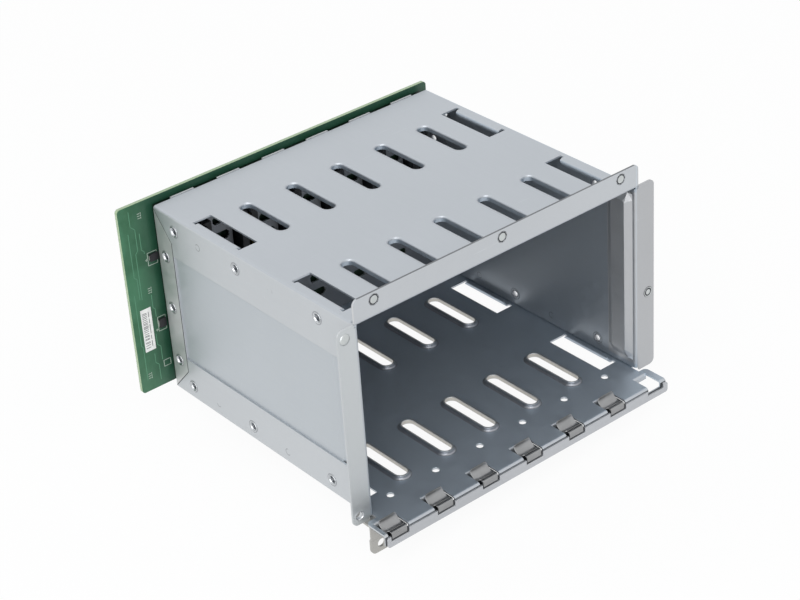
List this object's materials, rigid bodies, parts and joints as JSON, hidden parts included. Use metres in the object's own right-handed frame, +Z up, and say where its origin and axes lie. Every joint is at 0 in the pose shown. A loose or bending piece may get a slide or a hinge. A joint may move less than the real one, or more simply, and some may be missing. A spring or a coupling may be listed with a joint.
{
  "type": "hot swap drive cage",
  "caption": "Sheet metal drive cage with upright bays, rolled guide slots, docking connectors on a rear backplane board and sprung clips along its front shelf.",
  "frame": {"origin": "underside of the floor, on the middle bay line, in the plane of the front flanges", "axes": "+X across the bays to the right seen from the front, +Y from the open front to the backplane, +Z up"},
  "size_m": [0.2083, 0.1947, 0.1372],
  "materials": {
    "zinc_steel": "satin",
    "rail_steel": "satin",
    "rivet_steel": "satin",
    "spring_steel": "satin",
    "board_green": "satin",
    "connector_black": "matt",
    "contact_gold": "polished",
    "chip_black": "matt",
    "label_white": "matt",
    "standoff_brass": "satin",
    "screw_steel": "satin",
    "power_white": "satin",
    "shield_steel": "satin",
    "capacitor_can": "satin"
  },
  "bodies": {
    "cage": {"top_panel": "zinc_steel", "bottom_panel": "zinc_steel", "left_side_panel": "zinc_steel", "right_side_panel": "zinc_steel", "rear_panel": "zinc_steel", "front_rail": "rail_steel", "mounting_ear": "rail_steel", "left_rivets": "rivet_steel", "right_rivets": "rivet_steel", "top_flange_discs": "rivet_steel", "front_flange_rivets": "rivet_steel", "backplane_board": "board_green", "board_standoffs": "standoff_brass", "board_screws": "screw_steel", "power_connector": "power_white", "status_header": "connector_black", "front_chips": "chip_black", "rear_chips": "chip_black", "capacitors": "capacitor_can", "board_label": "label_white", "data_connector_1": "shield_steel", "data_connector_2": "shield_steel", "clip_hook_1": "spring_steel", "drive_connector_1": "connector_black", "connector_contacts_1": "contact_gold", "clip_hook_2": "spring_steel", "drive_connector_2": "connector_black", "connector_contacts_2": "contact_gold", "clip_hook_3": "spring_steel", "drive_connector_3": "connector_black", "connector_contacts_3": "contact_gold", "clip_hook_4": "spring_steel", "drive_connector_4": "connector_black", "connector_contacts_4": "contact_gold", "clip_hook_5": "spring_steel", "drive_connector_5": "connector_black", "connector_contacts_5": "contact_gold", "clip_hook_6": "spring_steel", "drive_connector_6": "connector_black", "connector_contacts_6": "contact_gold"},
    "leaf_1": {"clip_leaf_1": "spring_steel"},
    "leaf_2": {"clip_leaf_2": "spring_steel"},
    "leaf_3": {"clip_leaf_3": "spring_steel"},
    "leaf_4": {"clip_leaf_4": "spring_steel"},
    "leaf_5": {"clip_leaf_5": "spring_steel"},
    "leaf_6": {"clip_leaf_6": "spring_steel"}
  },
  "joints": [
    {"name": "clip_1_spring", "type": "hinge", "parent": "cage", "child": "leaf_1", "pos_m": [-0.0858, -0.01495, 0.001], "axis": [-1, 0, 0], "range_deg": [0, 20], "stiffness_Nm_per_rad": 0.02},
    {"name": "clip_2_spring", "type": "hinge", "parent": "cage", "child": "leaf_2", "pos_m": [-0.0572, -0.01495, 0.001], "axis": [-1, 0, 0], "range_deg": [0, 20], "stiffness_Nm_per_rad": 0.02},
    {"name": "clip_3_spring", "type": "hinge", "parent": "cage", "child": "leaf_3", "pos_m": [-0.0286, -0.01495, 0.001], "axis": [-1, 0, 0], "range_deg": [0, 20], "stiffness_Nm_per_rad": 0.02},
    {"name": "clip_4_spring", "type": "hinge", "parent": "cage", "child": "leaf_4", "pos_m": [0, -0.01495, 0.001], "axis": [-1, 0, 0], "range_deg": [0, 20], "stiffness_Nm_per_rad": 0.02},
    {"name": "clip_5_spring", "type": "hinge", "parent": "cage", "child": "leaf_5", "pos_m": [0.0286, -0.01495, 0.001], "axis": [-1, 0, 0], "range_deg": [0, 20], "stiffness_Nm_per_rad": 0.02},
    {"name": "clip_6_spring", "type": "hinge", "parent": "cage", "child": "leaf_6", "pos_m": [0.0572, -0.01495, 0.001], "axis": [-1, 0, 0], "range_deg": [0, 20], "stiffness_Nm_per_rad": 0.02}
  ]
}
